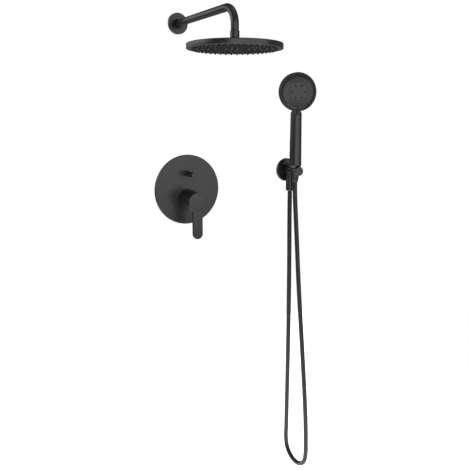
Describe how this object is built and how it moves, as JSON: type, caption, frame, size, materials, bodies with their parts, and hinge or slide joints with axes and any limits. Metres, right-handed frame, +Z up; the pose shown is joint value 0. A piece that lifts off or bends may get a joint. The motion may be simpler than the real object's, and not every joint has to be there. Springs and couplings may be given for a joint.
{
  "type": "concealed rainfall shower set",
  "caption": "Matte black concealed shower set: overhead rain head on a wall arm, round single-lever diverter mixer, and a hand shower on its wall outlet with a hanging hose.",
  "frame": {"origin": "centre of the mixer's cover plate on the finished wall face", "axes": "+Z up, -Y out of the wall into the room, +X to the right of a person facing the wall; the wall face is the plane y = 0"},
  "size_m": [0.4791, 0.439, 1.2771],
  "materials": {
    "matte_black": "matte black coating over brass",
    "black_plastic": "moulded black ABS",
    "hose_black": "smooth satin black PVC cover",
    "grey_silicone": "dark grey silicone",
    "black_rubber": "EPDM rubber",
    "raw_brass": "machined and cast brass",
    "steel": "stainless steel",
    "white_acetal": "white acetal",
    "ceramic_white": "lapped alumina",
    "grey_foam": "closed-cell foam"
  },
  "bodies": {
    "root": {"arm_tube": "matte_black", "arm_flange": "matte_black", "arm_gasket": "grey_foam", "arm_flange_o_ring": "black_rubber", "arm_inlet_thread": "raw_brass", "arm_outlet_nipple": "raw_brass", "union_nut": "matte_black", "cover_plate": "matte_black", "plate_gasket": "grey_foam", "plate_carrier": "steel", "valve_body": "raw_brass", "cartridge_seal": "black_rubber", "cartridge_body": "black_plastic", "ceramic_disc_fixed": "ceramic_white", "cartridge_nut": "matte_black", "mixer_sleeve": "matte_black", "sleeve_o_ring": "black_rubber", "carrier_screw_left": "steel", "carrier_screw_right": "steel", "hot_check_valve": "white_acetal", "cold_check_valve": "white_acetal", "diverter_bonnet": "raw_brass", "diverter_bush": "matte_black", "bracket_flange": "matte_black", "bracket_gasket": "grey_foam", "bracket_o_ring": "black_rubber", "outlet_body": "matte_black", "bracket_cap": "matte_black", "holder_liner": "black_plastic", "outlet_nipple": "raw_brass", "outlet_check_valve": "white_acetal", "outlet_washer": "black_rubber", "outlet_hose_nut": "matte_black", "hose": "hose_black"},
    "ball_turn": {"ball_washer": "black_rubber"},
    "rain_head": {"swivel_ball": "matte_black", "head_upper_shell": "matte_black", "head_flow_limiter": "white_acetal", "head_seal": "black_rubber", "head_face_ring": "matte_black", "head_nozzle_mat": "grey_silicone"},
    "cartridge_turn": {"cartridge_carrier": "white_acetal", "stem_pin": "steel"},
    "lever": {"lever": "matte_black", "lever_grub_screw": "steel", "cartridge_stem": "steel"},
    "ceramic_disc": {"ceramic_disc_moving": "ceramic_white"},
    "diverter": {"diverter_knob": "matte_black", "diverter_spindle": "steel", "diverter_piston": "raw_brass", "diverter_piston_seal": "black_rubber"},
    "hose_end": {"handset_cone_nut": "matte_black"},
    "handset": {"handset_body": "matte_black", "handset_inlet_screen": "white_acetal", "handset_washer": "black_rubber", "handset_nozzle_mat": "grey_silicone", "handset_face_plate": "matte_black"},
    "selector": {"spray_selector": "black_plastic", "spray_rotor": "black_plastic"}
  },
  "joints": [
    {"name": "head_turn", "type": "hinge", "parent": "root", "child": "ball_turn", "pos_m": [-0.02, -0.287, 0.3487], "axis": [0, 0, 1], "continuous": true},
    {"name": "head_tilt", "type": "hinge", "parent": "ball_turn", "child": "rain_head", "pos_m": [-0.02, -0.287, 0.3487], "axis": [1, 0, 0], "range_deg": [-15, 15]},
    {"name": "lever_turn", "type": "hinge", "parent": "root", "child": "cartridge_turn", "pos_m": [0, 0, -0.026], "axis": [0, 1, 0], "range_deg": [-50, 50]},
    {"name": "lever_lift", "type": "hinge", "parent": "cartridge_turn", "child": "lever", "pos_m": [0, -0.026, -0.026], "axis": [-1, 0, 0], "range_deg": [0, 20]},
    {"name": "disc_slide", "type": "slide", "parent": "cartridge_turn", "child": "ceramic_disc", "axis": [0, 0, -1], "range_m": [0, 0.0045]},
    {"name": "diverter_pull", "type": "slide", "parent": "root", "child": "diverter", "axis": [0, -1, 0], "range_m": [0, 0.008]},
    {"name": "handset_lift", "type": "slide", "parent": "root", "child": "hose_end", "axis": [0, 0, 1], "range_m": [0, 0.055]},
    {"name": "handset_turn", "type": "hinge", "parent": "hose_end", "child": "handset", "pos_m": [0.31, -0.047, 0.3], "axis": [0, 0, 1], "range_deg": [-28, 62]},
    {"name": "spray_select", "type": "hinge", "parent": "handset", "child": "selector", "pos_m": [0.31, -0.047, 0.252], "axis": [-0.2924, -0.9563, 0], "range_deg": [-30, 30]}
  ],
  "couplings": [
    {"joint": "disc_slide", "follows": "lever_lift", "m_per_rad": 0.0127}
  ]
}
